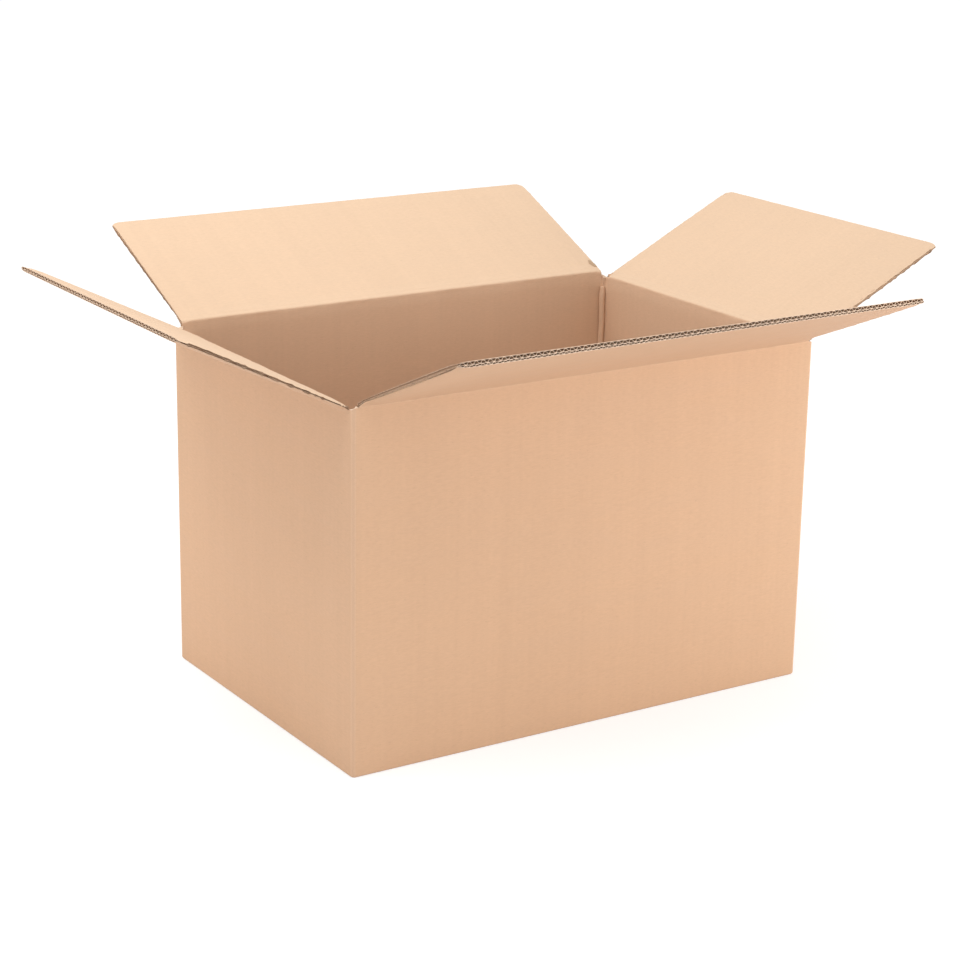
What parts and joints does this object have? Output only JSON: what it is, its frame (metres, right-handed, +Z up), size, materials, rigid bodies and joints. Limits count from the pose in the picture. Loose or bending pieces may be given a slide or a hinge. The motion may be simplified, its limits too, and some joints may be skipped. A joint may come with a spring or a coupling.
{
  "type": "corrugated box",
  "caption": "Open slotted carton of plain kraft double wall board, bottom closed, top flaps folded outward on their creases.",
  "frame": {"origin": "on the floor, under the middle of the carton, which is also the middle of the box around the open flaps", "axes": "+Z up out of the open top; +X along the long panels; the front panel faces -Y"},
  "size_m": [1.0002, 0.7998, 0.5087],
  "materials": {
    "kraft_board": "matte"
  },
  "bodies": {
    "carton": {"carton_body": "kraft_board"},
    "front_flap": {"front_flap": "kraft_board"},
    "back_flap": {"back_flap": "kraft_board"},
    "left_flap": {"left_flap": "kraft_board"},
    "right_flap": {"right_flap": "kraft_board"}
  },
  "joints": [
    {"name": "front_crease", "type": "hinge", "parent": "carton", "child": "front_flap", "pos_m": [0, -0.20908, 0.414], "axis": [1, 0, 0], "range_deg": [-156.5, 103.5]},
    {"name": "back_crease", "type": "hinge", "parent": "carton", "child": "back_flap", "pos_m": [0, 0.20908, 0.414], "axis": [-1, 0, 0], "range_deg": [-156.5, 103.5]},
    {"name": "left_crease", "type": "hinge", "parent": "carton", "child": "left_flap", "pos_m": [-0.30708, 0, 0.4065], "axis": [0, -1, 0], "range_deg": [-153.6, 106.4]},
    {"name": "right_crease", "type": "hinge", "parent": "carton", "child": "right_flap", "pos_m": [0.30708, 0, 0.4065], "axis": [0, 1, 0], "range_deg": [-153.6, 106.4]}
  ]
}
